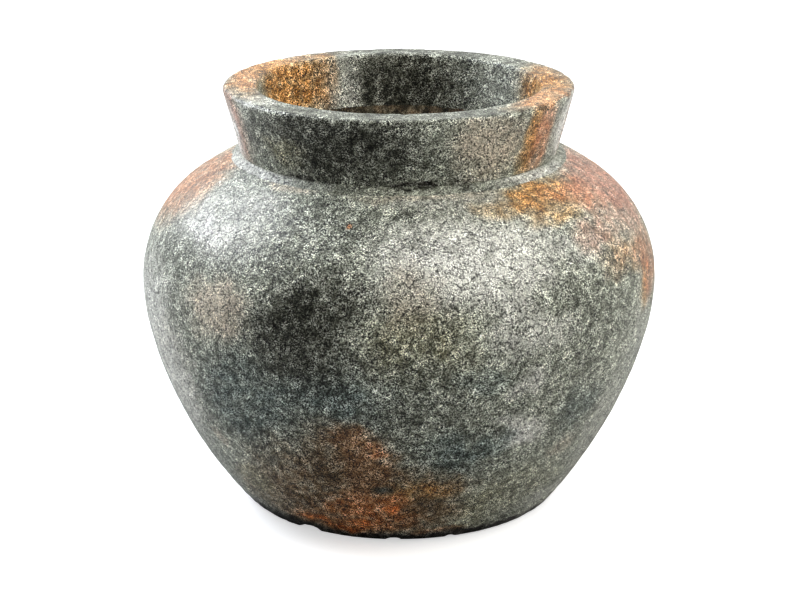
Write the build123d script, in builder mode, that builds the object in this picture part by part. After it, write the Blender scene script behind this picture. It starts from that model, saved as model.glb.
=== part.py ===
from build123d import *
import os

# A round-bellied terracotta garden urn with a wide flared collar. It is built the way
# a large pot is built, from leather-hard sections luted together with slip: a base
# slab, a lower bowl and a shoulder dome that lap at the girth, and a collar bedded on
# the neck. A coil of soft clay is pressed over every seam from the inside.
# Millimetres, +Z up, origin at the centre of the flat foot. Every section is a ring
# about Z, so each outline is drawn as (radius, height) and revolved.

# Overall sizes
overall_height = 285.0
belly_radius = 175.0
girth_height = 153.0
foot_radius = 109.0
wall = 15.0

# Turning points of the outside outline, each the end of one arc
bowl_turn = (171.0, 121.0)
shoulder_turn = (142.5, 218.5)
crown = (85.0, 245.3)

# Base slab and its drain hole
slab_thickness = 12.0
slab_edge_radius = 5.0
drain_radius = 11.0
drain_edge_radius = 1.5

# Girth joint: the bowl's lip is bevelled and the dome sits over it
lap_height = 5.0

# Neck seat, and the collar that stands on it in a bed of slip
seat_height = 238.5
neck_opening_radius = 85.0
bed_thickness = 1.5
bed_setback = 2.0
collar_foot_radius = 106.5
rim_radius = 118.0  # to the sharp corner; the rounding takes about 1 mm off it
rim_width = 22.5
rim_outer_rounding = 4.0
rim_inner_rounding = 2.5

# Slip squeezed out of the neck bed and wiped round the outside
bead_reach = 6.5
bead_drop = 3.5
bead_rise = 2.5
bead_crown = 0.8

# Inside coils, thumbed over the seams
base_coil_toe_radius = 78.0
base_coil_head_radius = 114.0
base_coil_rise = 17.0
girth_coil_height = 40.0
girth_coil_bulge = 5.0
neck_coil_height = 20.0
neck_coil_bulge = 3.5
neck_coil_bite = 3.0

girth = (belly_radius, girth_height)
inside_radius = belly_radius - wall
lap_top = girth_height + lap_height
collar_foot_height = seat_height + bed_thickness

# The outside outline, from the foot up over the girth to the crown
with BuildLine() as outside:
    bowl_upper = TangentArc(girth, bowl_turn, tangent=(0, -1))
    bowl_lower = TangentArc(bowl_turn, (foot_radius, 0), tangent=bowl_upper % 1)
    shoulder_lower = TangentArc(girth, shoulder_turn, tangent=(0, 1))
    shoulder_upper = TangentArc(shoulder_turn, crown, tangent=shoulder_lower % 1)

# The wall of the body: that outline thickened inwards
with BuildSketch() as wall_section:
    with BuildLine():
        offset(outside.line, amount=wall, side=Side.RIGHT, closed=True)
    make_face()

# The bowl's share of the wall, from the slab up to the bevelled lip
with BuildSketch() as bowl_section:
    add(wall_section.sketch)
    with BuildLine():
        Polyline((0, slab_thickness), (belly_radius, slab_thickness), girth,
                 (inside_radius, lap_top), (0, lap_top), close=True)
    make_face(mode=Mode.INTERSECT)

# The dome's share, from that lip up to the flat neck seat
with BuildSketch() as dome_section:
    add(wall_section.sketch)
    with BuildLine():
        Polyline(girth, (inside_radius, lap_top), (neck_opening_radius, lap_top),
                 (neck_opening_radius, seat_height), (belly_radius, seat_height), close=True)
    make_face(mode=Mode.INTERSECT)

# The collar: a thick flared strip with a rounded rim
rim_outer_corner = (rim_radius, overall_height)
rim_inner_corner = (rim_radius - rim_width, overall_height)
with BuildSketch() as collar_section:
    with BuildLine():
        Polyline((neck_opening_radius, collar_foot_height),
                 (collar_foot_radius, collar_foot_height),
                 rim_outer_corner, rim_inner_corner, close=True)
    make_face()
    rim_corners = collar_section.vertices().group_by(Axis.Y)[-1].sort_by(Axis.X)
    fillet(rim_corners[1], rim_outer_rounding)
    fillet(collar_section.vertices().sort_by_distance(rim_inner_corner)[0], rim_inner_rounding)

os.makedirs("parts", exist_ok=True)

# Base slab: a rolled disc, its edge fettled to the bowl's curve, its drain hole cut out
with BuildPart() as base_slab:
    with BuildSketch(Plane.XZ):
        with BuildLine():
            add(outside.line)
            Polyline((foot_radius, 0), (0, 0), (0, crown[1]), crown)
        make_face()
        with BuildLine():
            Polyline((0, 0), (belly_radius, 0), (belly_radius, slab_thickness),
                     (0, slab_thickness), close=True)
        make_face(mode=Mode.INTERSECT)
    revolve(axis=Axis.Z)
    fillet(base_slab.edges().group_by(Axis.Z)[0], slab_edge_radius)
    Hole(drain_radius)
    drain_edges = base_slab.edges().filter_by(GeomType.CIRCLE).filter_by(
        lambda edge: edge.radius < 2 * drain_radius
    )
    fillet(drain_edges, drain_edge_radius)
base_slab.part.label = "base_slab"
export_step(base_slab.part, "parts/base_slab.step")

# Base coil: soft clay thumbed into the corner between slab and bowl
with BuildPart() as base_coil:
    with BuildSketch(Plane.XZ):
        with BuildLine():
            coil_toe = (base_coil_toe_radius, slab_thickness)
            coil_head = (base_coil_head_radius, slab_thickness + base_coil_rise)
            TangentArc(coil_toe, coil_head, tangent=(1, 0))
            Polyline(coil_head, (base_coil_head_radius, slab_thickness), coil_toe)
        make_face()
        add(bowl_section.sketch, mode=Mode.SUBTRACT)
    revolve(axis=Axis.Z)
base_coil.part.label = "base_coil"
export_step(base_coil.part, "parts/base_coil.step")

# Lower bowl: stands on the slab, its lip bevelled up towards the inside
with BuildPart() as lower_bowl:
    with BuildSketch(Plane.XZ):
        add(bowl_section.sketch)
    revolve(axis=Axis.Z)
lower_bowl.part.label = "lower_bowl"
export_step(lower_bowl.part, "parts/lower_bowl.step")

# Girth coil: pressed over the seam between bowl and dome
with BuildPart() as girth_coil:
    with BuildSketch(Plane.XZ):
        with BuildLine():
            coil_foot = (belly_radius - wall / 2, girth_height - girth_coil_height / 2)
            coil_crest = (inside_radius - girth_coil_bulge, girth_height)
            coil_top = (belly_radius - wall / 2, girth_height + girth_coil_height / 2)
            ThreePointArc(coil_foot, coil_crest, coil_top)
            Line(coil_top, coil_foot)
        make_face()
        add(wall_section.sketch, mode=Mode.SUBTRACT)
    revolve(axis=Axis.Z)
girth_coil.part.label = "girth_coil"
export_step(girth_coil.part, "parts/girth_coil.step")

# Shoulder dome: sits over the bowl's lip and closes in to the neck seat
with BuildPart() as shoulder_dome:
    with BuildSketch(Plane.XZ):
        add(dome_section.sketch)
    revolve(axis=Axis.Z)
shoulder_dome.part.label = "shoulder_dome"
export_step(shoulder_dome.part, "parts/shoulder_dome.step")

# Neck luting bead: the bed of slip under the collar, and what squeezed out and was wiped
with BuildPart() as neck_luting_bead:
    with BuildSketch(Plane.XZ):
        with BuildLine():
            bed_inner_radius = neck_opening_radius + bed_setback
            bead_toe = (collar_foot_radius + bead_reach, collar_foot_height - bead_drop)
            bead_head = (collar_foot_radius, collar_foot_height + bead_rise)
            bead_middle = (collar_foot_radius + bead_reach / 2, collar_foot_height + bead_crown)
            ThreePointArc(bead_toe, bead_middle, bead_head)
            Polyline(bead_head, (bed_inner_radius, bead_head[1]),
                     (bed_inner_radius, bead_toe[1]), bead_toe)
        make_face()
        add(dome_section.sketch, mode=Mode.SUBTRACT)
        add(collar_section.sketch, mode=Mode.SUBTRACT)
    revolve(axis=Axis.Z)
neck_luting_bead.part.label = "neck_luting_bead"
export_step(neck_luting_bead.part, "parts/neck_luting_bead.step")

# Neck coil: smoothed over the same joint from inside the mouth
with BuildPart() as neck_coil:
    with BuildSketch(Plane.XZ):
        with BuildLine():
            coil_back = neck_opening_radius + neck_coil_bite
            coil_foot = (coil_back, collar_foot_height - neck_coil_height / 2)
            coil_crest = (neck_opening_radius - neck_coil_bulge, collar_foot_height)
            coil_top = (coil_back, collar_foot_height + neck_coil_height / 2)
            ThreePointArc(coil_foot, coil_crest, coil_top)
            Line(coil_top, coil_foot)
        make_face()
        add(dome_section.sketch, mode=Mode.SUBTRACT)
        add(collar_section.sketch, mode=Mode.SUBTRACT)
        with BuildLine():
            Polyline((neck_opening_radius, seat_height), (coil_back, seat_height),
                     (coil_back, collar_foot_height), (neck_opening_radius, collar_foot_height),
                     close=True)
        make_face(mode=Mode.SUBTRACT)
    revolve(axis=Axis.Z)
neck_coil.part.label = "neck_coil"
export_step(neck_coil.part, "parts/neck_coil.step")

# Collar: the flared strip joined into a ring and set down in the slip bed
with BuildPart() as collar:
    with BuildSketch(Plane.XZ):
        add(collar_section.sketch)
    revolve(axis=Axis.Z)
collar.part.label = "collar"
export_step(collar.part, "parts/collar.step")
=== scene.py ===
import bisect
import math

import bmesh
import bpy
from mathutils import Matrix, Vector, noise


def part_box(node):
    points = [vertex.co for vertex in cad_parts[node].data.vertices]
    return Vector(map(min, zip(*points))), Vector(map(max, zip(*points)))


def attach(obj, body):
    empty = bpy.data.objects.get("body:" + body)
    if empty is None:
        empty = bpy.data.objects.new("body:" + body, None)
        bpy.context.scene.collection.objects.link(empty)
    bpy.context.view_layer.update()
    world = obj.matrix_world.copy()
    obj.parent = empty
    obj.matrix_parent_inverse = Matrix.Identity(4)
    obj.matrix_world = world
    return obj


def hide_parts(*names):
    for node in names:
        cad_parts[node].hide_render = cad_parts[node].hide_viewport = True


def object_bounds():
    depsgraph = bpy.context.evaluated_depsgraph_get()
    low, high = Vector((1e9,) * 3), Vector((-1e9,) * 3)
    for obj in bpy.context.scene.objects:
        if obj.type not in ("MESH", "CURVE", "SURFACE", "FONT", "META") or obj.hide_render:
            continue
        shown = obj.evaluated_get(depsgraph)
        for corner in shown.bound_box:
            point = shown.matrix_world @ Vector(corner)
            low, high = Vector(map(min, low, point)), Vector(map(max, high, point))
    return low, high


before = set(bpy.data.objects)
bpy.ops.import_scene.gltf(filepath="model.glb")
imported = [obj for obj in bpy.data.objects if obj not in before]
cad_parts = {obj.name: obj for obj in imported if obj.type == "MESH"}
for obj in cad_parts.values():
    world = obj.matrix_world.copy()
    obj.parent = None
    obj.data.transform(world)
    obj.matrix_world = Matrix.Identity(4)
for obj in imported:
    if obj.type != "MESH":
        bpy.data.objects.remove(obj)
cad_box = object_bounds()
floor_height = cad_box[0][2]

# ---------------------------------------------------------------------------
# The camera: a short telephoto a pace and a half from the urn, looking down
# into its mouth a little.
camera_distance = 1.5
camera_tilt = math.radians(17.68)
aim = Vector((0.0, 0.0, 0.1317))

camera_data = bpy.data.cameras.new("camera")
camera_data.sensor_width = 36.0
camera_data.lens = 97.76
camera_data.shift_x = 0.00125
camera = bpy.data.objects.new("camera", camera_data)
camera.location = aim + camera_distance * Vector((0, -math.cos(camera_tilt), math.sin(camera_tilt)))
camera.rotation_euler = (math.pi / 2 - camera_tilt, 0, 0)
bpy.context.scene.collection.objects.link(camera)
bpy.context.scene.camera = camera

# ---------------------------------------------------------------------------
# Base slab. A disc of red clay rolled 12 mm thick, with a drain hole cut through
# its middle. Its edge was fettled to the bowl's curve and is rubbed round at the
# foot, where years of being set down have knocked small chips out of it.
mm = 0.001
twelfths = 12  # every ring is spun as one twelfth, and that is copied round
steps_in_twelfth = 50  # alike in every ring, so that their seams meet

# The outside of the body is four arcs that run into each other, upwards from the foot.
slab_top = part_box("base_slab")[1].z
girth_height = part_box("shoulder_dome")[0].z
lap_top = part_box("lower_bowl")[1].z
neck_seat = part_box("shoulder_dome")[1].z
belly_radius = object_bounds()[1][0]
wall = 15 * mm  # the body's clay is this thick from the slab to the neck
foot_radius = 109 * mm
bowl_turn = Vector((171 * mm, 121 * mm))
shoulder_turn = Vector((142.5 * mm, 218.5 * mm))
crown = Vector((85 * mm, 245.3 * mm))
fine_step = 1.75 * mm  # between the outline's points, so that the relief shows at the belly


def tangent_arc(start, heading, end, step):
    """Points on the arc that leaves start in a heading and ends at end, its centre and its last heading."""
    chord = end - start
    side = Vector((-heading.y, heading.x))
    centre = start + side * chord.length_squared / (2 * chord.dot(side))
    turn = 2 * math.atan2(heading.x * chord.y - heading.y * chord.x, heading.dot(chord))
    count = max(2, round(abs(turn) * (start - centre).length / step))
    points = [centre + Matrix.Rotation(turn * i / count, 2) @ (start - centre) for i in range(count + 1)]
    return points, centre, Matrix.Rotation(turn, 2) @ heading


girth = Vector((belly_radius, girth_height))
foot = Vector((foot_radius, 0))
upper_bowl, upper_bowl_centre, inwards = tangent_arc(girth, Vector((0, -1)), bowl_turn, fine_step)
lower, lower_centre, _ = tangent_arc(bowl_turn, inwards, foot, fine_step)
shoulder, shoulder_centre, inwards = tangent_arc(girth, Vector((0, 1)), shoulder_turn, fine_step)
top, top_centre, _ = tangent_arc(shoulder_turn, inwards, crown, fine_step)

outline = []  # (point, outward direction) from the foot to the crown
for points, centre in ((lower[::-1], lower_centre), (upper_bowl[::-1], upper_bowl_centre),
                       (shoulder, shoulder_centre), (top, top_centre)):
    outline += [(point, (point - centre).normalized()) for point in points[(1 if outline else 0):]]

ways = [0.0]  # distance over the surface from the foot, for each point of the outline
for (before, _), (after, _) in zip(outline, outline[1:]):
    ways.append(ways[-1] + (after - before).length)

heights = [point.y for point, out in outline]


def at_height(height):
    """Where the outline passes a height: its place in the list, as a whole number and a fraction."""
    i = min(max(bisect.bisect(heights, height) - 1, 0), len(heights) - 2)
    return i, min(1.0, max(0.0, (height - heights[i]) / (heights[i + 1] - heights[i])))


def wall_line(low, high, depth=0.0, every=1):
    """The outline between two heights, from low to high, or a line at a depth in the wall.

    every=2 keeps every second point, which is enough for the inside.
    """
    line = [point - out * depth for point, out in outline]
    inside = [point for point in line if low < point.y < high]
    ends = []
    for height in (low, high):
        for before, after in zip(line, line[1:]):
            if before.y <= height <= after.y:
                ends.append(before.lerp(after, (height - before.y) / (after.y - before.y)))
                break
    return [ends[0]] + inside[every // 2:-1:every] + ends[1:]


def ring(path, step, rounded=()):
    """Revolves a closed (radius, height) path into a ring. rounded holds (corner, size, segments)."""
    bm = bmesh.new()
    corners = [bm.verts.new((point[0], 0, point[1])) for point in path]
    for a, b in zip(corners, corners[1:] + corners[:1]):
        bm.edges.new((a, b))
    for corner, size, segments in rounded:
        bmesh.ops.bevel(bm, geom=[corners[corner]], offset=size, segments=segments, profile=0.5,
                        affect="VERTICES", material=-1)
    for edge in list(bm.edges):
        cuts = round(edge.calc_length() / step) - 1
        if cuts > 0:
            bmesh.ops.subdivide_edges(bm, edges=[edge], cuts=cuts)
    turn = 2 * math.pi / twelfths
    bmesh.ops.spin(bm, geom=bm.verts[:] + bm.edges[:], cent=(0, 0, 0), axis=(0, 0, 1),
                   angle=turn, steps=steps_in_twelfth)
    sector = bm.verts[:] + bm.edges[:] + bm.faces[:]
    for i in range(1, twelfths):
        copy = bmesh.ops.duplicate(bm, geom=sector)["geom"]
        bmesh.ops.rotate(bm, verts=[v for v in copy if isinstance(v, bmesh.types.BMVert)],
                         cent=(0, 0, 0), matrix=Matrix.Rotation(i * turn, 3, "Z"))
    bmesh.ops.remove_doubles(bm, verts=bm.verts, dist=1e-5)
    bmesh.ops.recalc_face_normals(bm, faces=bm.faces)
    return bm


def wander(point):
    """How far the potter's hands left the clay from true: a slow drift of under a millimetre."""
    return 0.9 * mm * noise.noise(point / (110 * mm)) + 0.35 * mm * noise.noise(point / (38 * mm))


def pitting(point, size, rarity, depth):
    """A shallow round pit in some cells of a random pattern, as grit leaves when it falls out."""
    pit_radius = 0.42  # of the cell's size
    spread = 3.7  # so that neighbouring cells' draws have nothing to do with each other
    distances, centres = noise.voronoi(point / size)
    if noise.noise(centres[0] * spread) < rarity:
        return 0.0
    hollow = max(0.0, 1 - (distances[0] / pit_radius) ** 2)
    return -depth * hollow * hollow


def skin(point):
    """The relief of the outer skin: soft lumps, fine unevenness and pits."""
    lumps = 0.22 * mm * noise.noise(point / (17 * mm)) + 0.16 * mm * noise.noise(point / (7 * mm))
    fine = 0.10 * mm * noise.noise(point / (3.6 * mm))
    return lumps + fine + pitting(point, size=11 * mm, rarity=0.22, depth=0.7 * mm)


def outward(point):
    """The outline's outward direction beside a point, and how far up the surface that is."""
    i, part = at_height(point.z)
    out = outline[i][1].lerp(outline[i + 1][1], part)
    around = Vector((point.x, point.y)).normalized()
    way = ways[i] + part * (ways[i + 1] - ways[i])
    return Vector((around.x * out.x, around.y * out.x, out.y)), way


def on_outside(point):
    """Whether a point lies on the outside of the body, and not on its inner face or in a seam."""
    i, part = at_height(point.z)
    radius = outline[i][0].x + part * (outline[i + 1][0].x - outline[i][0].x)
    allowance = 0.4 * mm
    return math.hypot(point.x, point.y) > radius - allowance


# The washes, and the clay that shows through them, as sRGB. The blackest is painted shade only; the next, a
# charcoal wash, is also laid as painted shade in creases and hollows.
washes = {
    "ash": "#6c6f61", "lime": "#c4c4ba", "chalk": "#f2f0ea", "bone": "#b8ae9a", "smoke": "#3b3e33",
    "slate": "#222d29", "soot_and_shade": "#181911", "painted_shade": "#080603", "olive": "#57543b", "umber": "#32200a",
    "earth": "#745636", "sienna": "#72430c", "rust": "#6e340a", "ember": "#9c440a", "ochre": "#9c6a2c",
    "salmon": "#a66a44", "peach": "#9c6c48", "blush": "#a97860", "tan": "#8e5c2e",
}

# What they leave on the outside, laid one over another, as dabs of (wash, azimuth, way up, half
# width in degrees, half height in mm, strength). Azimuth is 0 at the front and grows to the
# right, and the way up is measured over the surface from the foot, in mm.
body_washes = [
    # the belly, from left to right
    # the lime at -70 and -60 degrees, on the next line and two lines down, is a pale wash and partly painted
    # reflection along the belly's left edge
    ("smoke", -12, 112, 40, 60, 0.80), ("lime", -70, 145, 14, 56, 0.90),
    ("bone", -60, 130, 8, 34, 0.30), ("slate", -36, 126, 13, 34, 0.60),
    ("slate", -14, 138, 13, 22, 0.65), ("ash", -60, 66, 10, 18, 0.60), ("lime", -60, 116, 8, 44, 0.85),
    ("lime", 31, 100, 5, 10, 0.90), ("chalk", 27, 98, 5, 9, 0.50), ("smoke", 41, 98, 5, 12, 0.50),
    ("bone", -49, 80, 3, 6, 0.60), ("smoke", -28, 100, 5, 8, 0.30), ("olive", 4, 172, 10, 26, 0.60),
    ("smoke", -6, 156, 9, 14, 0.35), ("smoke", 6, 152, 8, 12, 0.55), ("slate", 18, 150, 6, 9, 0.40),
    ("slate", 12, 88, 7, 22, 0.65), ("smoke", 21, 80, 6, 9, 0.40), ("slate", 21, 96, 6, 9, 0.50),
    ("smoke", 50, 186, 12, 26, 0.45), ("slate", 46, 112, 7, 16, 0.45), ("smoke", 40, 150, 8, 20, 0.30),
    ("lime", 67, 150, 8, 26, 0.35), ("lime", 60, 80, 8, 44, 0.50), ("olive", 34, 46, 16, 24, 0.35),
    ("bone", 44, 80, 4, 8, 0.50), ("lime", 54, 24, 11, 14, 0.65), ("lime", 26, 110, 4, 9, 0.85),
    ("lime", 28, 144, 4, 10, 0.80), ("lime", 33, 172, 7, 11, 0.60), ("lime", 24, 184, 7, 20, 0.70),
    ("smoke", 24, 158, 2, 6, 0.60),
    # the shoulder
    # the lime and chalk on the left of the shoulder, on the next line, are a pale wash and partly painted
    # highlight
    ("lime", -52, 240, 20, 26, 0.60), ("chalk", -55, 230, 11, 13, 0.45),
    ("lime", -40, 262, 8, 8, 0.60), ("smoke", -62, 204, 10, 12, 0.55), ("bone", -42, 184, 9, 19, 1.00),
    ("soot_and_shade", -21, 178, 12, 32, 0.85), ("soot_and_shade", -15, 198, 8, 22, 0.60),
    ("smoke", -20, 240, 13, 30, 0.60), ("smoke", -30, 260, 6, 14, 0.45),
    ("smoke", -11, 240, 7, 10, 0.50), ("smoke", -20, 261, 5, 8, 0.40), ("lime", 16, 222, 22, 28, 1.00),
    ("chalk", 14, 228, 14, 16, 0.25), ("lime", 31, 236, 13, 17, 0.60), ("lime", 18, 272, 26, 10, 0.60),
    ("lime", 18, 248, 18, 14, 0.50), ("bone", 3, 204, 7, 24, 0.50), ("smoke", 36, 196, 7, 11, 0.60),
    ("smoke", -19, 260, 14, 15, 1.00), ("smoke", 50, 248, 9, 6, 0.40), ("smoke", 2, 256, 4, 6, 0.70),
    ("lime", -4, 236, 6, 18, 0.20), ("bone", -38, 278, 12, 5, 0.70), ("bone", 12, 279, 26, 6, 0.50),
    ("peach", -86, 254, 18, 38, 0.90), ("salmon", -87, 232, 6, 12, 0.40),
    ("lime", 88, 90, 9, 80, 0.50),
    # rust on the right of the shoulder; its pink blush is partly painted sheen
    ("ochre", 28, 264, 6, 8, 0.35), ("ochre", 41, 265, 8, 14, 0.90), ("ochre", 52, 268, 11, 12, 0.90),
    ("rust", 53, 262, 7, 7, 0.55), ("salmon", 64, 256, 8, 16, 0.85), ("blush", 84, 252, 20, 40, 0.90),
    ("ochre", 47, 250, 11, 9, 0.50), ("lime", 47, 222, 8, 10, 0.60), ("blush", 57, 228, 9, 12, 0.50),
    ("salmon", 76, 192, 8, 22, 0.50), ("earth", 61, 206, 8, 12, 0.75),
    ("salmon", 70, 190, 6, 20, 0.60), ("ochre", 67, 178, 3, 12, 0.40), ("smoke", 59, 198, 3, 8, 0.50),
    # rust round the front of the foot, with a tongue of it running up
    ("umber", -22, 56, 18, 40, 0.75), ("umber", -38, 36, 16, 28, 0.60), ("umber", 4, 60, 12, 22, 0.60),
    ("olive", -44, 46, 7, 12, 0.60), ("umber", -15, 86, 8, 26, 0.60), ("umber", 7, 30, 10, 18, 0.80),
    ("umber", 14, 62, 5, 9, 0.60), ("olive", 22, 28, 9, 24, 0.50), ("rust", -8, 34, 13, 24, 0.80),
    ("rust", -20, 18, 15, 10, 0.65), ("rust", -7, 80, 7, 26, 0.55), ("rust", -10, 106, 6, 10, 0.40),
    ("umber", -8, 88, 8, 26, 0.35), ("ember", -5, 96, 2, 6, 0.40), ("sienna", 6, 58, 9, 9, 0.60),
    ("rust", 1, 46, 4, 9, 0.80), ("rust", 12, 10, 9, 5, 0.50), ("umber", 8, 40, 10, 12, 0.50),
    ("ember", -2, 39, 3, 5, 0.85), ("umber", -10, 70, 14, 18, 0.30), ("ember", -13, 22, 3, 5, 0.75),
    ("ember", -27, 20, 3, 3, 0.70), ("ember", -19, 14, 4, 3, 0.70), ("soot_and_shade", -3, 60, 2, 5, 0.80),
    # painted shade: a near-black band round the foot, standing for the contact shadow under its rubbed edge
    ("painted_shade", -44, 0, 26, 13, 1.00), ("painted_shade", -6, 0, 36, 9, 1.00), ("painted_shade", 34, 0, 44, 9, 1.00),
    # the back
    ("lime", 150, 230, 34, 32, 0.75), ("smoke", -140, 190, 26, 40, 0.60),
    ("lime", 112, 120, 16, 40, 0.50), ("bone", -112, 120, 14, 40, 0.60),
    ("slate", 150, 130, 28, 36, 0.60), ("soot_and_shade", 172, 170, 12, 34, 0.75),
    ("slate", -160, 110, 20, 34, 0.60), ("lime", -165, 250, 22, 18, 0.60),
    ("umber", 165, 50, 24, 38, 0.75), ("rust", 160, 34, 14, 24, 0.80), ("rust", 168, 80, 4, 26, 0.60),
    ("ember", 155, 26, 4, 6, 0.70), ("umber", -130, 30, 16, 22, 0.60),
    ("ochre", 120, 264, 12, 13, 0.85), ("salmon", 108, 250, 9, 18, 0.70),
    ("earth", 118, 218, 8, 20, 0.60), ("rust", -128, 20, 8, 10, 0.60), ("bone", -95, 60, 8, 16, 0.50),
    # painted shade round the foot at the back
    ("painted_shade", 180, 0, 130, 5, 0.60),
    # single flecks
    ("ember", -12, 254, 1.0, 2.0, 1.00), ("chalk", -53, 127, 0.8, 1.6, 1.00),
    ("chalk", -50, 114, 0.8, 1.4, 1.00),
]

# What lies on the inside, which rain and soil have browned, with painted shade darkest under the neck
inner_washes = [
    ("umber", 0, 20, 180, 60, 0.70), ("smoke", -100, 200, 80, 60, 0.70),
    ("ash", 90, 170, 60, 50, 0.50), ("rust", 40, 110, 60, 40, 0.40), ("umber", 160, 130, 50, 40, 0.50),
    # painted shade over the upper inside, darkest under the neck
    ("soot_and_shade", 0, 250, 720, 80, 1.00),
]


def shade(wash):
    """A wash's colour as the eye sees it, each part from 0 to 1."""
    code = washes[wash]
    return Vector([int(code[i:i + 2], 16) / 255 for i in (1, 3, 5)])


def washed(dabs, ground, azimuth, way, point):
    """The wash left at a place, as red, green and blue: every dab laid on the ground, with frayed edges."""
    spread = 1.45  # a dab has thinned to nothing at this many times its half width or height
    firmness = 1.4  # how soon it thickens inwards from there
    azimuth = azimuth + 3.5 * noise.noise(point / (32 * mm)) + 2.5 * noise.noise(point / (11 * mm))
    way = way + 7.0 * noise.noise(point / (30 * mm) + Vector((7, 0, 0)))
    way = way + 4.0 * noise.noise(point / (10 * mm) + Vector((0, 9, 0)))
    patchy = 1.0 + 0.6 * noise.noise(point / (6 * mm) + Vector((0, 0, 5)))
    left = shade(ground)
    for wash, centre, height, half_width, half_height, strength in dabs:
        up = abs(way - height) / (spread * half_height)
        if up < 1:
            across = abs((azimuth - centre + 180) % 360 - 180) / (spread * half_width)
            off = math.hypot(across, up)
            if off < 1:
                soft = min(1.0, firmness * (1 - off))
                thick = strength * soft * soft * (3 - 2 * soft)
                left = left.lerp(shade(wash), min(1.0, thick * patchy))
    return left


def azimuth_of(point):
    """Degrees round from the front, growing to the right."""
    return math.degrees(math.atan2(point.x, -point.y))


def foot_seam(point, azimuth):
    """How far the wiped seam between slab and bowl lies back, deepest on the right."""
    half_width = 3 * mm
    deepest_at = 62  # degrees
    near = max(0.0, 1 - abs(point.z - slab_top) / half_width)
    deeper = max(0.0, math.cos(math.radians(azimuth - deepest_at))) ** 6
    return near * near * (0.15 * mm + 0.8 * mm * deeper)


def weather_body(bm):
    """Moves the points of a body ring as hands and weather did, and notes the wash left on them, with its
    painted shade and highlight.
    """
    left = bm.verts.layers.float_color.new("wash")
    for v in bm.verts:
        point = v.co.copy()
        out, way = outward(point)
        v.co += out * wander(point)
        if on_outside(point):
            azimuth = azimuth_of(point)
            v.co += out * (skin(point) - foot_seam(point, azimuth))
            v[left] = (*washed(body_washes, "ash", azimuth, way / mm, point), 1)
        else:
            v[left] = (*washed(inner_washes, "earth", azimuth_of(point), way / mm, point), 1)


def finish_piece(bm, name, node, material):
    """Makes the smooth-shaded object, which rides on the urn's one body and stands for its CAD node."""
    for face in bm.faces:
        face.smooth = True
    mesh = bpy.data.meshes.new(name)
    bm.to_mesh(mesh)
    bm.free()
    mesh.set_sharp_from_angle(angle=math.radians(40))  # so that lips and edges stay crisp
    mesh.materials.append(material)
    piece = bpy.data.objects.new(name, mesh)
    bpy.context.scene.collection.objects.link(piece)
    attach(piece, "root")
    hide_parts(node)


def colour(code):
    """An sRGB hex colour, turned linear, with alpha."""
    parts = [int(code[i:i + 2], 16) / 255 for i in (1, 3, 5)]
    return [p / 12.92 if p <= 0.04045 else ((p + 0.055) / 1.055) ** 2.4 for p in parts] + [1.0]


def add(tree, kind, inputs=(), **settings):
    """Adds a node: its settings, and for each input a value or the output it is linked to."""
    made = tree.nodes.new(kind)
    for setting, value in settings.items():
        setattr(made, setting, value)
    for socket, value in dict(inputs).items():
        if isinstance(value, bpy.types.NodeSocket):
            tree.links.new(value, made.inputs[socket])
        else:
            made.inputs[socket].default_value = value
    return made


def off_middle(tree, source, gain, base=0.0):
    """base plus gain times how far a noise is from its middle value."""
    centred = add(tree, "ShaderNodeMath", {0: source, 1: gain, 2: -0.5 * gain}, operation="MULTIPLY_ADD")
    return add(tree, "ShaderNodeMath", {0: centred.outputs[0], 1: base}, operation="ADD").outputs[0]


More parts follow.
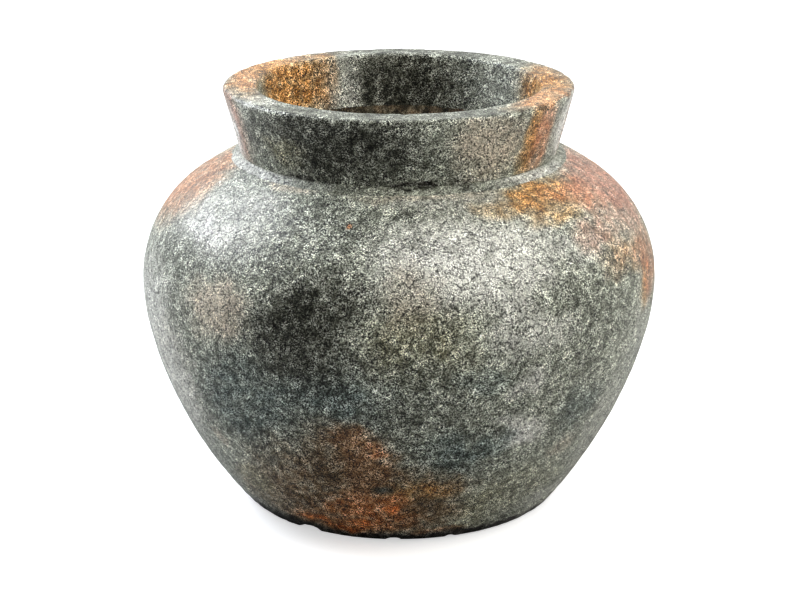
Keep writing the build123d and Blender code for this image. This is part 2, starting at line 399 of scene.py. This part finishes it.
def washed_clay(name, speckle, roughness, relief):
    """Coarse clay under a scrubbed wash. The mesh says which wash, and which painted shade or highlight, lies
    where.
    """
    material = bpy.data.materials.new(name)
    material.use_nodes = True
    tree = material.node_tree
    tree.nodes.clear()
    place = add(tree, "ShaderNodeTexCoord").outputs["Object"]
    wash = add(tree, "ShaderNodeAttribute", attribute_name="wash").outputs["Color"]

    channels = add(tree, "ShaderNodeSeparateColor", {"Color": wash})
    pale = channels.outputs["Green"]  # how pale the wash is
    redness = add(tree, "ShaderNodeMath", {0: channels.outputs["Red"], 1: channels.outputs["Blue"]},
                  operation="SUBTRACT").outputs[0]

    # a 0.8 mm tooth that is felt in the sheen and relief, 3.5 mm scrubbing marks drawn out two and a
    # half times as long along one way of the brush, and 22 mm clouds of thicker and thinner wash
    grain = add(tree, "ShaderNodeTexNoise", {"Vector": place, "Scale": 1 / (0.8 * mm), "Detail": 0.0,
                                             "Roughness": 0.6}).outputs["Fac"]
    brush_angles = [math.radians(angle) for angle in (0, -27, 31)]
    drawn = add(tree, "ShaderNodeMapping", {"Vector": place, "Rotation": brush_angles,
                                            "Scale": (2.5, 1.0, 1.0)},
                vector_type="TEXTURE").outputs["Vector"]
    scrub = add(tree, "ShaderNodeTexNoise", {"Vector": drawn, "Scale": 1 / (3.5 * mm), "Detail": 2.0,
                                             "Roughness": 0.6}).outputs["Fac"]
    cloud = add(tree, "ShaderNodeTexNoise", {"Vector": place, "Scale": 1 / (22 * mm), "Detail": 3.0,
                                             "Roughness": 0.6}).outputs["Fac"]

    # sand grains of half a millimetre stand out of the wash, more in some 6 mm patches than in others
    uneven = add(tree, "ShaderNodeTexNoise", {"Vector": place, "Scale": 1 / (6 * mm),
                                              "Detail": 1.0}).outputs["Fac"]
    uneven = add(tree, "ShaderNodeMapRange", {"Value": uneven, "From Min": 0.35, "From Max": 0.65,
                                              "To Min": 0.60, "To Max": 1.35}).outputs["Result"]
    sand = add(tree, "ShaderNodeTexVoronoi", {"Vector": place, "Scale": 1 / (0.5 * mm)}).outputs["Color"]
    sand = add(tree, "ShaderNodeSeparateColor", {"Color": sand}).outputs["Red"]
    grit = add(tree, "ShaderNodeMath", {0: off_middle(tree, sand, speckle), 1: uneven},
               operation="MULTIPLY").outputs[0]
    marks = off_middle(tree, scrub, 0.8, grit)

    # the marks bite less in the darkest washes, in thick pale ones, and most of all in bare rusty clay
    in_dark = add(tree, "ShaderNodeMapRange", {"Value": pale, "From Min": 0.03, "From Max": 0.25,
                                               "To Min": 0.45, "To Max": 1.00}).outputs["Result"]
    in_pale = add(tree, "ShaderNodeMapRange", {"Value": pale, "From Min": 0.40, "From Max": 0.70,
                                               "To Min": 1.00, "To Max": 0.55}).outputs["Result"]
    rusty = add(tree, "ShaderNodeMath", {0: redness, 1: channels.outputs["Blue"]},
                operation="MULTIPLY").outputs[0]
    in_rust = add(tree, "ShaderNodeMapRange", {"Value": rusty, "From Min": 0.05, "From Max": 0.11,
                                               "To Min": 1.0, "To Max": 0.5}).outputs["Result"]
    bite = add(tree, "ShaderNodeMath", {0: in_dark, 1: in_pale}, operation="MULTIPLY").outputs[0]
    bite = add(tree, "ShaderNodeMath", {0: bite, 1: in_rust}, operation="MULTIPLY").outputs[0]
    marks = add(tree, "ShaderNodeMath", {0: marks, 1: bite}, operation="MULTIPLY").outputs[0]
    tone = off_middle(tree, cloud, 0.45, marks)

    # rust comes through in flecks of about 2 mm, so reddish washes are more broken than grey ones
    fleck = add(tree, "ShaderNodeTexNoise", {"Vector": place, "Scale": 1 / (3.6 * mm),
                                             "Detail": 1.0}).outputs["Fac"]
    broken = add(tree, "ShaderNodeMath", {0: off_middle(tree, fleck, 1.0), 1: redness},
                 operation="MULTIPLY").outputs[0]
    tone = add(tree, "ShaderNodeMath", {0: tone, 1: broken}, operation="ADD").outputs[0]

    # cracks where the wash dried thick: thin edges of 11 mm cells, and only some of them
    waver = add(tree, "ShaderNodeTexNoise", {"Vector": place, "Scale": 1 / (9 * mm),
                                             "Detail": 2.0}).outputs["Color"]
    bent = add(tree, "ShaderNodeMix", {"Factor": 0.006, "A": place, "B": waver},
               data_type="RGBA").outputs["Result"]
    edges = add(tree, "ShaderNodeTexVoronoi", {"Vector": bent, "Scale": 1 / (11 * mm)},
                feature="DISTANCE_TO_EDGE").outputs["Distance"]
    crack = add(tree, "ShaderNodeMapRange", {"Value": edges, "From Min": 0.012, "From Max": 0.035,
                                             "To Min": 1.0, "To Max": 0.0}).outputs["Result"]
    dry = add(tree, "ShaderNodeMapRange", {"Value": off_middle(tree, cloud, 0.6, pale), "From Min": 0.50,
                                           "From Max": 0.66}).outputs["Result"]
    cracked = add(tree, "ShaderNodeMath", {0: crack, 1: dry}, operation="MULTIPLY").outputs[0]

    # pinholes: the middles of four in ten 6 mm cells, up to 2 mm across
    holes = add(tree, "ShaderNodeTexVoronoi", {"Vector": place, "Scale": 1 / (6 * mm)})
    chosen = add(tree, "ShaderNodeSeparateColor", {"Color": holes.outputs["Color"]}).outputs["Red"]
    size = add(tree, "ShaderNodeMapRange", {"Value": chosen, "From Min": 0.62, "From Max": 1.0,
                                            "To Min": 0.0, "To Max": 0.17}).outputs["Result"]
    hole = add(tree, "ShaderNodeMath", {0: holes.outputs["Distance"], 1: size},
               operation="LESS_THAN").outputs[0]
    flaw = add(tree, "ShaderNodeMath", {0: cracked, 1: hole}, operation="MAXIMUM").outputs[0]
    tone = add(tree, "ShaderNodeMath", {0: flaw, 1: -0.25, 2: tone}, operation="MULTIPLY_ADD").outputs[0]

    # one in six of the coarser grains, 0.95 mm, is dark in a pale wash, or pale in a dark one
    pepper = add(tree, "ShaderNodeTexVoronoi", {"Vector": place, "Scale": 1 / (0.95 * mm)}).outputs["Color"]
    pepper = add(tree, "ShaderNodeSeparateColor", {"Color": pepper}).outputs["Red"]
    pepper = add(tree, "ShaderNodeMath", {0: pepper, 1: 0.84}, operation="GREATER_THAN").outputs[0]
    peppered = add(tree, "ShaderNodeMapRange", {"Value": pale, "From Min": 0.10, "From Max": 0.60,
                                                "To Min": 0.16, "To Max": -0.40}).outputs["Result"]
    tone = add(tree, "ShaderNodeMath", {0: pepper, 1: peppered, 2: tone}, operation="MULTIPLY_ADD").outputs[0]

    # paler grains of a coloured wash are stronger in colour and darker ones duller; the colour is
    # mixed as the eye sees it, and the gamma turns it linear
    hue = add(tree, "ShaderNodeVectorMath", {0: wash, 1: pale}, operation="SUBTRACT").outputs[0]
    strong = add(tree, "ShaderNodeMath", {0: tone, 1: 0.9, 2: 1.0},
                 operation="MULTIPLY_ADD").outputs[0]
    strong = add(tree, "ShaderNodeMath", {0: strong, 1: 0.2}, operation="MAXIMUM").outputs[0]
    hue = add(tree, "ShaderNodeVectorMath", {0: hue, 1: strong}, operation="MULTIPLY").outputs[0]
    level = add(tree, "ShaderNodeMath", {0: pale, 1: tone}, operation="ADD").outputs[0]
    mixed = add(tree, "ShaderNodeVectorMath", {0: hue, 1: level}, operation="ADD").outputs[0]
    blackest = (0.03, 0.03, 0.025)
    kept = add(tree, "ShaderNodeVectorMath", {0: mixed, 1: blackest}, operation="MAXIMUM").outputs[0]
    clay = add(tree, "ShaderNodeGamma", {"Color": kept, "Gamma": 2.2}).outputs["Color"]

    # the tooth and the marks are felt in the surface too, and wax shines where the wash took it up
    tooth = add(tree, "ShaderNodeMath", {0: grain, 1: scrub}, operation="ADD").outputs[0]
    height = add(tree, "ShaderNodeMath", {0: flaw, 1: -0.5, 2: tooth}, operation="MULTIPLY_ADD").outputs[0]
    normal = add(tree, "ShaderNodeBump", {"Height": height, "Strength": 1.0,
                                          "Distance": relief}).outputs["Normal"]
    waxed = add(tree, "ShaderNodeMapRange", {"Value": pale, "From Min": 0.10, "From Max": 0.50,
                                             "To Min": 0.10, "To Max": 0.50}).outputs["Result"]
    shader = add(tree, "ShaderNodeBsdfPrincipled", {"Base Color": clay, "IOR": 1.5,
                 "Specular IOR Level": waxed,
                 "Roughness": off_middle(tree, grain, -0.3, roughness), "Normal": normal})
    add(tree, "ShaderNodeOutputMaterial", {"Surface": shader.outputs["BSDF"]})
    return material


# Limewashed terracotta: coarse red clay, smoked dark, with a lime and ash wash scrubbed on
# and off it and then waxed. The eye gets a grey salt-and-pepper grain, pale where the wash
# lies thick and charcoal where it doesn't, with rust where the clay's iron has come through, and
# painted shade and highlight laid into the wash in places.
limewashed_clay = washed_clay("limewashed_clay", speckle=1.35, roughness=0.43, relief=0.4 * mm)

drain_radius = 11 * mm
drain_edge = 1.5 * mm
rubbed_edge = 2.3 * mm
slab_outside = wall_line(0, slab_top)
slab_path = [Vector((drain_radius, 0))] + slab_outside + [Vector((drain_radius, slab_top))]
slab = ring(slab_path, 4 * mm,
            rounded=((0, drain_edge, 4), (1, rubbed_edge, 6), (len(slab_path) - 1, drain_edge, 4)))
weather_body(slab)

# Chips out of the foot's edge: (azimuth, half width in degrees, height, depth). A chip's floor
# slopes up from the foot, and its face is rough.
chips = ((-33, 4.5, 4.5 * mm, 3.0 * mm), (-2, 2.5, 2.5 * mm, 1.5 * mm), (18, 1.5, 2 * mm, 1.2 * mm),
         (140, 5, 4 * mm, 2.5 * mm), (-118, 3, 3 * mm, 2 * mm))
edge_width = 6 * mm
floor_slope = 0.7
for centre, half_width, height, depth in chips:
    for v in slab.verts:
        off = abs((azimuth_of(v.co) - centre + 180) % 360 - 180) / half_width
        if off < 1 and v.co.z < height and math.hypot(v.co.x, v.co.y) > foot_radius - edge_width:
            broken = (1 - off ** 3) * (0.8 + 0.4 * noise.noise(v.co / (3 * mm)))
            v.co -= Vector((v.co.x, v.co.y, 0)).normalized() * depth * broken * (1 - v.co.z / height)
            v.co.z += (height - v.co.z) * floor_slope * broken

# The foot was pressed flat on the bench, so nothing hangs below it
for v in slab.verts:
    v.co.z = max(v.co.z, floor_height)
finish_piece(slab, "base_slab_clay", "base_slab", limewashed_clay)

# ---------------------------------------------------------------------------
# Base coil. A roll of soft red clay, thumbed from inside into the corner between slab and
# bowl, so that the corner neither leaks nor cracks.
coil_step = 2.5 * mm
thumb_depth = 0.7 * mm

# Bare clay: terracotta as it was left inside, never washed on purpose. The eye gets a dull
# red-brown, dusty where the wash ran in.
bare_clay = washed_clay("bare_clay", speckle=0.5, roughness=0.7, relief=0.6 * mm)


def thumbed(point, depth):
    """The row of shallow thumb marks left along a coil, and its unevenness."""
    marks_round = 34
    turn = math.radians(azimuth_of(point)) * marks_round
    marks = 0.5 * math.sin(turn + 2 * noise.noise(point / (60 * mm)))
    return depth * (marks + noise.noise(point / (14 * mm)))


def coil(name, path, material, back):
    """A coil of clay round the inside. Its face, at radii under back, is thumbed."""
    bm = ring(path, coil_step)
    left = bm.verts.layers.float_color.new("wash")
    for v in bm.verts:
        point = v.co.copy()
        around = Vector((point.x, point.y, 0)).normalized()
        out, way = outward(point)
        v[left] = (*washed(inner_washes, "earth", azimuth_of(point), way / mm, point), 1)
        v.co += out * wander(point)
        if math.hypot(point.x, point.y) < back:
            v.co += around * thumbed(point, thumb_depth)
    finish_piece(bm, name + "_clay", name, material)


def inner_radius(height):
    """The radius of the wall's inner face at a height."""
    return wall_line(height, height + fine_step, wall)[0].x


base_coil_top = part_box("base_coil")[1].z
coil_toe = Vector((78 * mm, slab_top))
coil_head = Vector((inner_radius(base_coil_top), base_coil_top))
coil_path = tangent_arc(coil_toe, Vector((1, 0)), coil_head, coil_step)[0]
coil_path += wall_line(slab_top, base_coil_top, wall, every=2)[-2::-1]
coil("base_coil", coil_path, bare_clay, back=coil_head.x - 2 * mm)

# ---------------------------------------------------------------------------
# Lower bowl. The bottom half of the body, built up from a strip of the same red clay and beaten
# round over a form. It stands on the slab, glued with slip, and its lip is bevelled up towards
# the inside to take the dome.
lip_step = 3 * mm
bowl_path = wall_line(slab_top, girth_height) + wall_line(slab_top, lap_top, wall, every=2)[::-1]
bowl = ring(bowl_path, lip_step)
weather_body(bowl)
finish_piece(bowl, "lower_bowl_clay", "lower_bowl", limewashed_clay)

# ---------------------------------------------------------------------------
# Girth coil. A roll of soft clay as thick as a thumb, pressed over the seam between bowl and
# dome from inside and left bare. It holds the two halves together at their widest.


def bulge(start, crest, end, count):
    """Points on the round back of a coil, from start over its crest to end."""
    middle = (start + end) / 2
    points = []
    for i in range(count + 1):
        along = i / count
        lift = 4 * along * (1 - along)
        points.append(start.lerp(end, along) + (crest - middle) * lift)
    return points


coil_low, coil_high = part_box("girth_coil")
coil_face = belly_radius - wall
coil_thickness = 5 * mm
coil_foot = Vector((inner_radius(coil_low.z), coil_low.z))
coil_head = Vector((inner_radius(coil_high.z), coil_high.z))
coil_crest = Vector((coil_face - coil_thickness, (coil_low.z + coil_high.z) / 2))
coil_path = bulge(coil_foot, coil_crest, coil_head, 12)[:-1]
coil_path += wall_line(coil_low.z, coil_high.z, wall, every=2)[:0:-1]
coil("girth_coil", coil_path, bare_clay, back=coil_face - 1 * mm)

# ---------------------------------------------------------------------------
# Shoulder dome. The top half of the body in the same clay, coiled inwards and smoothed over the
# seam outside. It sits over the bowl's lip, and its neck was cut flat to seat the collar.
neck_radius = 85 * mm
dome_inside = [point for point in wall_line(lap_top, neck_seat, wall, every=2) if point.x > neck_radius]
dome_path = (wall_line(girth_height, neck_seat) + [Vector((neck_radius, neck_seat)),
             Vector((neck_radius, dome_inside[-1].y))] + dome_inside[::-1])
dome = ring(dome_path, lip_step)
weather_body(dome)
finish_piece(dome, "shoulder_dome_clay", "shoulder_dome", limewashed_clay)

# ---------------------------------------------------------------------------
# Neck luting bead. The bed of slip that the collar was set down in, and the roll of it that was
# squeezed out round the outside and wiped down with a finger.

# Lime slip: creamy slip of clay and lime. The eye gets a chalky line under the collar, with painted
# shade in its crease.
lime_slip = washed_clay("lime_slip", speckle=1.0, roughness=0.5, relief=0.4 * mm)

collar_low, collar_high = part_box("collar")
collar_foot = 106.5 * mm
bed_radius = 87 * mm
seat_radius = outline[at_height(neck_seat)[0]][0].x
groove = Vector((collar_foot + 0.5 * mm, collar_low.z + 0.2 * mm))
bead_crest = Vector((collar_foot + 1.0 * mm, collar_low.z + 0.1 * mm))
bead_toe = Vector((collar_foot + 6.6 * mm, collar_low.z - 4.0 * mm))
bead_back = (bead_crest + bead_toe) / 2 + Vector((0.1, 0.1)) * mm
bead_path = ([Vector((bed_radius, neck_seat)), Vector((bed_radius, collar_low.z)), groove]
             + bulge(bead_crest, bead_back, bead_toe, 7)
             + [Vector((seat_radius, neck_seat - 0.4 * mm))])

# Its washes are placed by how far they lie out from the collar's foot, in mm
bead_washes = [
    ("lime", -64, 3, 26, 9, 0.90), ("chalk", 54, 3, 18, 9, 0.55), ("ash", -6, 3, 26, 9, 0.60),
    # painted shade: the first dab on the next line darkens the crease under the collar's foot
    ("soot_and_shade", -6, 0, 34, 1.8, 0.95), ("soot_and_shade", 22, 1, 3, 4, 0.80), ("lime", 150, 3, 50, 9, 0.80),
]
bead = ring(bead_path, 2 * mm)
left = bead.verts.layers.float_color.new("wash")
for v in bead.verts:
    point = v.co.copy()
    past_foot = math.hypot(point.x, point.y) - collar_foot
    out, way = outward(point)
    v.co += out * wander(point)
    if past_foot > 1 * mm:
        wiped = 0.7 * mm * noise.noise(point / (14 * mm)) + 0.3 * mm * noise.noise(point / (4 * mm))
        v.co += out * wiped
    v[left] = (*washed(bead_washes, "ash", azimuth_of(point), past_foot / mm, point), 1)
finish_piece(bead, "neck_luting_bead_slip", "neck_luting_bead", lime_slip)

# ---------------------------------------------------------------------------
# Neck coil. A thinner roll of the same bare clay, smoothed over the joint of dome and collar from
# inside the mouth. It follows the collar's lean above the joint.
rim_inner = 95.5 * mm
inner_lean = (rim_inner - neck_radius) / (collar_high.z - collar_low.z)
coil_low, coil_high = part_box("neck_coil")
coil_foot = Vector((neck_radius, max(coil_low.z, dome_inside[-1].y)))
coil_head = Vector((neck_radius + (coil_high.z - collar_low.z) * inner_lean, coil_high.z))
coil_crest = Vector((81.5 * mm, collar_low.z))
coil_path = bulge(coil_foot, coil_crest, coil_head, 10) + [Vector((neck_radius, collar_low.z))]
coil("neck_coil", coil_path, bare_clay, back=neck_radius - 0.5 * mm)

# ---------------------------------------------------------------------------
# Collar. A thick strip of the same clay bent into a ring that flares, its rim cut flat and its
# corners rubbed round. Its washes are placed by the way over it from its outside foot: up the
# outside to 46 mm, over the rim to 69 mm, and down the inside.
rim_outer = 118 * mm
rim_outer_rounding = 4 * mm
rim_inner_rounding = 2.5 * mm
rim_step = 1.25 * mm
collar_path = [Vector((collar_foot, collar_low.z)), Vector((rim_outer, collar_high.z)),
               Vector((rim_inner, collar_high.z)), Vector((neck_radius, collar_low.z))]
collar_washes = [
    # outside
    ("soot_and_shade", -24, 26, 29, 23, 0.90), ("soot_and_shade", -4, 16, 12, 14, 0.40), ("smoke", -52, 22, 6, 24, 0.60),
    ("olive", -42, 16, 9, 11, 0.60), ("smoke", 4, 12, 11, 11, 0.60), ("bone", 30, 24, 12, 26, 0.95),
    # painted shade: the near-black dab at the end of the next line is the shadow line along the collar's
    # foot, where it overhangs the shoulder
    ("ash", 26, 12, 5, 8, 0.50), ("soot_and_shade", 20, 5, 4, 6, 0.60), ("painted_shade", -6, 0, 40, 1.6, 0.80),
    ("ochre", 48, 24, 5, 26, 0.90), ("salmon", 56, 23, 7, 25, 0.80), ("earth", 55, 14, 3, 6, 0.50),
    # the blush and chalk at -76 and -77 degrees and the chalk at 78 degrees, on the next two lines, are a
    # pale wash and partly painted reflection along the collar's edges
    ("lime", 74, 24, 10, 30, 0.70), ("blush", -76, 22, 14, 28, 0.90), ("chalk", -77, 16, 10, 24, 0.90),
    ("chalk", 78, 22, 9, 30, 0.85), ("peach", 84, 14, 7, 26, 0.50), ("smoke", -120, 20, 24, 30, 0.60),
    ("lime", 150, 22, 20, 28, 0.70), ("soot_and_shade", 178, 20, 16, 26, 0.70),
    ("salmon", 120, 24, 12, 28, 0.70), ("bone", -150, 22, 14, 26, 0.60),
    # rim
    ("smoke", 0, 57, 720, 9, 1.00), ("soot_and_shade", 160, 58, 22, 10, 0.60), ("smoke", 150, 60, 24, 12, 0.80),
    ("smoke", -14, 58, 44, 12, 0.70), ("smoke", 172, 57, 30, 12, 0.85), ("lime", -57, 57, 9, 11, 0.50),
    ("lime", -57, 46.5, 12, 2.5, 0.60), ("tan", 64, 58, 23, 12, 0.90), ("tan", 100, 59, 20, 11, 0.55),
    ("tan", -108, 58, 40, 12, 0.85), ("sienna", -147, 62, 4, 7, 0.60), ("soot_and_shade", -112, 66, 3, 3, 0.80),
    ("rust", 72, 46, 24, 1.6, 0.50),
    # inside
    # the charcoal dab second on the next line, on the collar's inner back wall, is a dark wash and partly
    # painted shade
    ("smoke", 0, 94, 90, 24, 0.70), ("soot_and_shade", 178, 94, 32, 24, 0.95), ("lime", -154, 92, 8, 26, 0.50),
    ("earth", -145, 88, 6, 24, 0.70), ("sienna", -124, 84, 22, 28, 1.00),
    ("sienna", 94, 84, 22, 30, 1.00), ("smoke", 121, 88, 6, 24, 0.50), ("smoke", 146, 88, 7, 24, 0.60),
]
collar_height = collar_high.z - collar_low.z
outer_lean = (rim_outer - collar_foot) / collar_height
slope = math.hypot(rim_outer - collar_foot, collar_height)


def way_over_collar(point):
    """How far a point lies over the collar from its outside foot, in mm."""
    radius = math.hypot(point.x, point.y)
    middle = (rim_outer + rim_inner) / 2 - (collar_high.z - point.z) * outer_lean
    along = (point.z - collar_low.z) / collar_height * slope
    if point.z > collar_high.z - 0.6 * mm:  # on the flat of the rim
        return (slope + rim_outer - radius) / mm
    if radius > middle:
        return along / mm
    return (2 * slope + rim_outer - rim_inner - along) / mm


collar = ring(collar_path, rim_step, rounded=((1, rim_outer_rounding, 6), (2, rim_inner_rounding, 5)))
smoothed = 0.8  # the collar was wiped smoother than the body
ridge_height, ridge_width, ridge_length = 0.22 * mm, 1.9 * mm, 25  # the length in degrees
worn_width, deepest_wear = 6 * mm, 1.6 * mm
left = collar.verts.layers.float_color.new("wash")
collar.normal_update()
normals = {v: v.normal.copy() for v in collar.verts}
for v in collar.verts:
    point = v.co.copy()
    azimuth = azimuth_of(point)
    around = Vector((point.x, point.y, 0)).normalized()
    v.co += around * wander(point)
    if point.z > collar_low.z + 0.5 * mm:  # the foot stays flat in its bed
        v.co += normals[v] * skin(point) * smoothed

    # the flat of the rim was smoothed round with a wet finger, which left long low ridges
    radius = math.hypot(point.x, point.y)
    if point.z > collar_high.z - 1 * mm:
        v.co.z += ridge_height * noise.noise(Vector((radius / ridge_width, azimuth / ridge_length, 3)))

    # knocks have worn the outer corner down here and there
    corner = math.hypot(radius - rim_outer, point.z - collar_high.z) / worn_width
    if corner < 1:
        knocked = max(0.0, noise.noise(point / (8 * mm)) - 0.1)
        v.co -= normals[v] * deepest_wear * (1 - corner) * knocked
    v[left] = (*washed(collar_washes, "ash", azimuth, way_over_collar(point), point), 1)
finish_piece(collar, "collar_clay", "collar", limewashed_clay)

# ---------------------------------------------------------------------------
# The studio. Two soft boxes, a cool one behind on the left and a warmer one in front on the
# right, in white surroundings that are dimmer in front, over a white paper sweep. Camera rays
# see plain white, while the urn is lit by greyer paper.


def softbox(name, direction, distance, size, power, tint):
    """A square lamp of that size, power in watts and tint, that shines on the urn from a direction."""
    data = bpy.data.lights.new(name, "AREA")
    data.shape = "RECTANGLE"
    data.size, data.size_y = size
    data.energy = power
    data.color = colour(tint)[:3]
    lamp = bpy.data.objects.new(name, data)
    direction = Vector(direction).normalized()
    lamp.location = urn_middle + direction * distance
    lamp.rotation_euler = direction.to_track_quat("Z", "Y").to_euler()
    bpy.context.scene.collection.objects.link(lamp)


urn_middle = Vector((0, 0, 0.15))
softbox("softbox_left", (-0.686, 0.336, 0.645), 1.5, (0.9, 0.9), 26, "#eef4ff")
softbox("softbox_right", (0.585, -0.30, 0.753), 1.7, (1.1, 1.1), 22, "#fffdf8")

world = bpy.data.worlds.new("white_surroundings")
bpy.context.scene.world = world
world.use_nodes = True
tree = world.node_tree
tree.nodes.clear()
eye = add(tree, "ShaderNodeLightPath").outputs["Is Camera Ray"]
all_round = add(tree, "ShaderNodeTexCoord").outputs["Generated"]
towards = add(tree, "ShaderNodeSeparateXYZ", {"Vector": all_round}).outputs["Y"]
behind = add(tree, "ShaderNodeMapRange", {"Value": towards, "From Min": -0.5, "From Max": 0.4,
                                          "To Min": 0.18, "To Max": 1.15}).outputs["Result"]
strength = add(tree, "ShaderNodeMix", {"Factor": eye, "A": behind, "B": 1.0}).outputs["Result"]
white = add(tree, "ShaderNodeBackground", {"Color": colour("#ffffff"), "Strength": strength})
add(tree, "ShaderNodeOutputWorld", {"Surface": white.outputs["Background"]})

bm = bmesh.new()
sweep_half_width = 6.0
clearance = 0.2 * mm  # so that the foot's flat and the paper don't share a plane
bmesh.ops.create_grid(bm, x_segments=1, y_segments=1, size=sweep_half_width)
bmesh.ops.translate(bm, verts=bm.verts, vec=(0, 0, floor_height - clearance))
mesh = bpy.data.meshes.new("floor")
bm.to_mesh(mesh)
bm.free()
floor = bpy.data.objects.new("floor", mesh)
bpy.context.scene.collection.objects.link(floor)

# White paper: matt and burnt out to white by the lamps. The eye gets only a faint shadow on it.
paper = bpy.data.materials.new("white_paper_sweep")
paper.use_nodes = True
tree = paper.node_tree
tree.nodes.clear()
eye = add(tree, "ShaderNodeLightPath").outputs["Is Camera Ray"]
glow = add(tree, "ShaderNodeMath", {0: eye, 1: 0.55}, operation="MULTIPLY").outputs[0]
seen = add(tree, "ShaderNodeMix", {"Factor": eye, "A": colour("#b8b8b8"), "B": colour("#f4f4f4")},
           data_type="RGBA").outputs["Result"]
shader = add(tree, "ShaderNodeBsdfPrincipled", {
    "Base Color": seen, "Roughness": 0.9, "Emission Color": colour("#ffffff"), "Emission Strength": glow})
add(tree, "ShaderNodeOutputMaterial", {"Surface": shader.outputs["BSDF"]})
mesh.materials.append(paper)

bpy.context.scene.view_settings.view_transform = "Standard"
